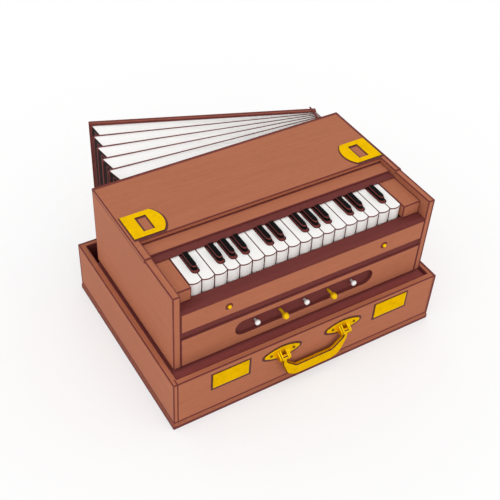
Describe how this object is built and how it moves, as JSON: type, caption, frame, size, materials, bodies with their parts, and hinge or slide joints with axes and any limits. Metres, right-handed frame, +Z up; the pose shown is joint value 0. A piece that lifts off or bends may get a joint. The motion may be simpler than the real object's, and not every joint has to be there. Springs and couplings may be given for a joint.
{
  "type": "portable harmonium",
  "caption": "Portable hand-pumped harmonium on its case base, with keyboard, draw stops, folding side-hinged bellows, carrying handle and brass plates.",
  "frame": {"origin": "centre of the case's underside, leaving out the floor board's small overhang", "axes": "+Z up, +X towards the high notes, -Y towards the player"},
  "size_m": [0.4924, 0.4805, 0.2531],
  "materials": {
    "wood": "satin varnish",
    "dark_wood": "dark stain",
    "brass": "polished",
    "white_key": "gloss",
    "black_key": "gloss",
    "white_knob": "gloss",
    "bellows_card": "matt card with leather folds"
  },
  "bodies": {
    "harmonium": {"case_floor": "dark_wood", "case_walls": "wood", "deck": "dark_wood", "cheek_left": "wood", "cheek_right": "wood", "lid": "wood", "nameboard": "wood", "key_block_left": "wood", "key_block_right": "wood", "key_rail": "dark_wood", "keyslip": "wood", "front_board": "wood", "back_panel": "wood", "reed_board": "dark_wood", "d_plate_left": "brass", "d_plate_right": "brass", "escutcheon_left": "brass", "escutcheon_right": "brass"},
    "fold_1": {"bellows_fold_1": "bellows_card"},
    "fold_2": {"bellows_fold_2": "bellows_card"},
    "fold_3": {"bellows_fold_3": "bellows_card"},
    "fold_4": {"bellows_fold_4": "bellows_card"},
    "bellows": {"bellows_fold_5": "bellows_card", "bellows_board": "wood"},
    "handle": {"handle_bail": "brass"},
    "stop_1": {"stop_white_1": "white_knob"},
    "stop_2": {"stop_brass_2": "brass"},
    "stop_3": {"stop_white_3": "white_knob"},
    "stop_4": {"stop_brass_4": "brass"},
    "stop_5": {"stop_white_5": "white_knob"},
    "white_01": {"white_key_01": "white_key"},
    "white_02": {"white_key_02": "white_key"},
    "white_03": {"white_key_03": "white_key"},
    "white_04": {"white_key_04": "white_key"},
    "white_05": {"white_key_05": "white_key"},
    "white_06": {"white_key_06": "white_key"},
    "white_07": {"white_key_07": "white_key"},
    "white_08": {"white_key_08": "white_key"},
    "white_09": {"white_key_09": "white_key"},
    "white_10": {"white_key_10": "white_key"},
    "white_11": {"white_key_11": "white_key"},
    "white_12": {"white_key_12": "white_key"},
    "white_13": {"white_key_13": "white_key"},
    "white_14": {"white_key_14": "white_key"},
    "white_15": {"white_key_15": "white_key"},
    "white_16": {"white_key_16": "white_key"},
    "white_17": {"white_key_17": "white_key"},
    "white_18": {"white_key_18": "white_key"},
    "black_01": {"black_key_01": "black_key"},
    "black_02": {"black_key_02": "black_key"},
    "black_03": {"black_key_03": "black_key"},
    "black_04": {"black_key_04": "black_key"},
    "black_05": {"black_key_05": "black_key"},
    "black_06": {"black_key_06": "black_key"},
    "black_07": {"black_key_07": "black_key"},
    "black_08": {"black_key_08": "black_key"},
    "black_09": {"black_key_09": "black_key"},
    "black_10": {"black_key_10": "black_key"},
    "black_11": {"black_key_11": "black_key"},
    "black_12": {"black_key_12": "black_key"}
  },
  "joints": [
    {"name": "bellows_hinge", "type": "hinge", "parent": "harmonium", "child": "fold_1", "pos_m": [0.203, 0.142, 0.179], "axis": [0, 0, 1], "range_deg": [-1.8, 4.22], "deforming": ["bellows_fold_1"]},
    {"name": "bellows_hinge_2", "type": "hinge", "parent": "fold_1", "child": "fold_2", "pos_m": [0.203, 0.142, 0.179], "axis": [0, 0, 1], "range_deg": [-1.8, 4.22], "deforming": ["bellows_fold_2"]},
    {"name": "bellows_hinge_3", "type": "hinge", "parent": "fold_2", "child": "fold_3", "pos_m": [0.203, 0.142, 0.179], "axis": [0, 0, 1], "range_deg": [-1.8, 4.22], "deforming": ["bellows_fold_3"]},
    {"name": "bellows_hinge_4", "type": "hinge", "parent": "fold_3", "child": "fold_4", "pos_m": [0.203, 0.142, 0.179], "axis": [0, 0, 1], "range_deg": [-1.8, 4.22], "deforming": ["bellows_fold_4"]},
    {"name": "bellows_hinge_5", "type": "hinge", "parent": "fold_4", "child": "bellows", "pos_m": [0.203, 0.142, 0.179], "axis": [0, 0, 1], "range_deg": [-1.8, 4.22], "deforming": ["bellows_fold_5"]},
    {"name": "handle_swing", "type": "hinge", "parent": "harmonium", "child": "handle", "pos_m": [0, -0.182, 0.0715], "axis": [-1, 0, 0], "range_deg": [0, 110]},
    {"name": "stop_1_slide", "type": "slide", "parent": "harmonium", "child": "stop_1", "axis": [0, -1, 0], "range_m": [0, 0.0095]},
    {"name": "stop_2_slide", "type": "slide", "parent": "harmonium", "child": "stop_2", "axis": [0, 1, 0], "range_m": [0, 0.0095]},
    {"name": "stop_3_slide", "type": "slide", "parent": "harmonium", "child": "stop_3", "axis": [0, -1, 0], "range_m": [0, 0.0095]},
    {"name": "stop_4_slide", "type": "slide", "parent": "harmonium", "child": "stop_4", "axis": [0, 1, 0], "range_m": [0, 0.0095]},
    {"name": "stop_5_slide", "type": "slide", "parent": "harmonium", "child": "stop_5", "axis": [0, -1, 0], "range_m": [0, 0.0095]},
    {"name": "white_01_tip", "type": "hinge", "parent": "harmonium", "child": "white_01", "pos_m": [-0.18065, 0.0417, 0.222], "axis": [1, 0, 0], "range_deg": [0, 3], "stiffness_Nm_per_rad": 0.6, "springref_deg": -8.59},
    {"name": "black_01_tip", "type": "hinge", "parent": "harmonium", "child": "black_01", "pos_m": [-0.1702, 0.0417, 0.222], "axis": [1, 0, 0], "range_deg": [0, 3], "stiffness_Nm_per_rad": 0.4, "springref_deg": -8.59},
    {"name": "white_02_tip", "type": "hinge", "parent": "harmonium", "child": "white_02", "pos_m": [-0.15975, 0.0417, 0.222], "axis": [1, 0, 0], "range_deg": [0, 3], "stiffness_Nm_per_rad": 0.6, "springref_deg": -8.59},
    {"name": "black_02_tip", "type": "hinge", "parent": "harmonium", "child": "black_02", "pos_m": [-0.1284, 0.0417, 0.222], "axis": [1, 0, 0], "range_deg": [0, 3], "stiffness_Nm_per_rad": 0.4, "springref_deg": -8.59},
    {"name": "white_03_tip", "type": "hinge", "parent": "harmonium", "child": "white_03", "pos_m": [-0.13885, 0.0417, 0.222], "axis": [1, 0, 0], "range_deg": [0, 3], "stiffness_Nm_per_rad": 0.6, "springref_deg": -8.59},
    {"name": "black_03_tip", "type": "hinge", "parent": "harmonium", "child": "black_03", "pos_m": [-0.1075, 0.0417, 0.222], "axis": [1, 0, 0], "range_deg": [0, 3], "stiffness_Nm_per_rad": 0.4, "springref_deg": -8.59},
    {"name": "white_10_tip", "type": "hinge", "parent": "harmonium", "child": "white_10", "pos_m": [0.00745, 0.0417, 0.222], "axis": [1, 0, 0], "range_deg": [0, 3], "stiffness_Nm_per_rad": 0.6, "springref_deg": -8.59},
    {"name": "black_08_tip", "type": "hinge", "parent": "harmonium", "child": "black_08", "pos_m": [0.0388, 0.0417, 0.222], "axis": [1, 0, 0], "range_deg": [0, 3], "stiffness_Nm_per_rad": 0.4, "springref_deg": -8.59},
    {"name": "white_04_tip", "type": "hinge", "parent": "harmonium", "child": "white_04", "pos_m": [-0.11795, 0.0417, 0.222], "axis": [1, 0, 0], "range_deg": [0, 3], "stiffness_Nm_per_rad": 0.6, "springref_deg": -8.59},
    {"name": "white_05_tip", "type": "hinge", "parent": "harmonium", "child": "white_05", "pos_m": [-0.09705, 0.0417, 0.222], "axis": [1, 0, 0], "range_deg": [0, 3], "stiffness_Nm_per_rad": 0.6, "springref_deg": -8.59},
    {"name": "white_06_tip", "type": "hinge", "parent": "harmonium", "child": "white_06", "pos_m": [-0.07615, 0.0417, 0.222], "axis": [1, 0, 0], "range_deg": [0, 3], "stiffness_Nm_per_rad": 0.6, "springref_deg": -8.59},
    {"name": "white_07_tip", "type": "hinge", "parent": "harmonium", "child": "white_07", "pos_m": [-0.05525, 0.0417, 0.222], "axis": [1, 0, 0], "range_deg": [0, 3], "stiffness_Nm_per_rad": 0.6, "springref_deg": -8.59},
    {"name": "white_08_tip", "type": "hinge", "parent": "harmonium", "child": "white_08", "pos_m": [-0.03435, 0.0417, 0.222], "axis": [1, 0, 0], "range_deg": [0, 3], "stiffness_Nm_per_rad": 0.6, "springref_deg": -8.59},
    {"name": "white_09_tip", "type": "hinge", "parent": "harmonium", "child": "white_09", "pos_m": [-0.01345, 0.0417, 0.222], "axis": [1, 0, 0], "range_deg": [0, 3], "stiffness_Nm_per_rad": 0.6, "springref_deg": -8.59},
    {"name": "white_11_tip", "type": "hinge", "parent": "harmonium", "child": "white_11", "pos_m": [0.02835, 0.0417, 0.222], "axis": [1, 0, 0], "range_deg": [0, 3], "stiffness_Nm_per_rad": 0.6, "springref_deg": -8.59},
    {"name": "white_12_tip", "type": "hinge", "parent": "harmonium", "child": "white_12", "pos_m": [0.04925, 0.0417, 0.222], "axis": [1, 0, 0], "range_deg": [0, 3], "stiffness_Nm_per_rad": 0.6, "springref_deg": -8.59},
    {"name": "white_13_tip", "type": "hinge", "parent": "harmonium", "child": "white_13", "pos_m": [0.07015, 0.0417, 0.222], "axis": [1, 0, 0], "range_deg": [0, 3], "stiffness_Nm_per_rad": 0.6, "springref_deg": -8.59},
    {"name": "white_14_tip", "type": "hinge", "parent": "harmonium", "child": "white_14", "pos_m": [0.09105, 0.0417, 0.222], "axis": [1, 0, 0], "range_deg": [0, 3], "stiffness_Nm_per_rad": 0.6, "springref_deg": -8.59},
    {"name": "white_15_tip", "type": "hinge", "parent": "harmonium", "child": "white_15", "pos_m": [0.11195, 0.0417, 0.222], "axis": [1, 0, 0], "range_deg": [0, 3], "stiffness_Nm_per_rad": 0.6, "springref_deg": -8.59},
    {"name": "white_16_tip", "type": "hinge", "parent": "harmonium", "child": "white_16", "pos_m": [0.13285, 0.0417, 0.222], "axis": [1, 0, 0], "range_deg": [0, 3], "stiffness_Nm_per_rad": 0.6, "springref_deg": -8.59},
    {"name": "white_17_tip", "type": "hinge", "parent": "harmonium", "child": "white_17", "pos_m": [0.15375, 0.0417, 0.222], "axis": [1, 0, 0], "range_deg": [0, 3], "stiffness_Nm_per_rad": 0.6, "springref_deg": -8.59},
    {"name": "white_18_tip", "type": "hinge", "parent": "harmonium", "child": "white_18", "pos_m": [0.17465, 0.0417, 0.222], "axis": [1, 0, 0], "range_deg": [0, 3], "stiffness_Nm_per_rad": 0.6, "springref_deg": -8.59},
    {"name": "black_04_tip", "type": "hinge", "parent": "harmonium", "child": "black_04", "pos_m": [-0.0866, 0.0417, 0.222], "axis": [1, 0, 0], "range_deg": [0, 3], "stiffness_Nm_per_rad": 0.4, "springref_deg": -8.59},
    {"name": "black_05_tip", "type": "hinge", "parent": "harmonium", "child": "black_05", "pos_m": [-0.0448, 0.0417, 0.222], "axis": [1, 0, 0], "range_deg": [0, 3], "stiffness_Nm_per_rad": 0.4, "springref_deg": -8.59},
    {"name": "black_06_tip", "type": "hinge", "parent": "harmonium", "child": "black_06", "pos_m": [-0.0239, 0.0417, 0.222], "axis": [1, 0, 0], "range_deg": [0, 3], "stiffness_Nm_per_rad": 0.4, "springref_deg": -8.59},
    {"name": "black_07_tip", "type": "hinge", "parent": "harmonium", "child": "black_07", "pos_m": [0.0179, 0.0417, 0.222], "axis": [1, 0, 0], "range_deg": [0, 3], "stiffness_Nm_per_rad": 0.4, "springref_deg": -8.59},
    {"name": "black_09_tip", "type": "hinge", "parent": "harmonium", "child": "black_09", "pos_m": [0.0597, 0.0417, 0.222], "axis": [1, 0, 0], "range_deg": [0, 3], "stiffness_Nm_per_rad": 0.4, "springref_deg": -8.59},
    {"name": "black_10_tip", "type": "hinge", "parent": "harmonium", "child": "black_10", "pos_m": [0.1015, 0.0417, 0.222], "axis": [1, 0, 0], "range_deg": [0, 3], "stiffness_Nm_per_rad": 0.4, "springref_deg": -8.59},
    {"name": "black_11_tip", "type": "hinge", "parent": "harmonium", "child": "black_11", "pos_m": [0.1224, 0.0417, 0.222], "axis": [1, 0, 0], "range_deg": [0, 3], "stiffness_Nm_per_rad": 0.4, "springref_deg": -8.59},
    {"name": "black_12_tip", "type": "hinge", "parent": "harmonium", "child": "black_12", "pos_m": [0.1642, 0.0417, 0.222], "axis": [1, 0, 0], "range_deg": [0, 3], "stiffness_Nm_per_rad": 0.4, "springref_deg": -8.59}
  ],
  "couplings": [
    {"joint": "bellows_hinge_2", "follows": "bellows_hinge", "ratio": 1},
    {"joint": "bellows_hinge_3", "follows": "bellows_hinge", "ratio": 1},
    {"joint": "bellows_hinge_4", "follows": "bellows_hinge", "ratio": 1},
    {"joint": "bellows_hinge_5", "follows": "bellows_hinge", "ratio": 1}
  ]
}
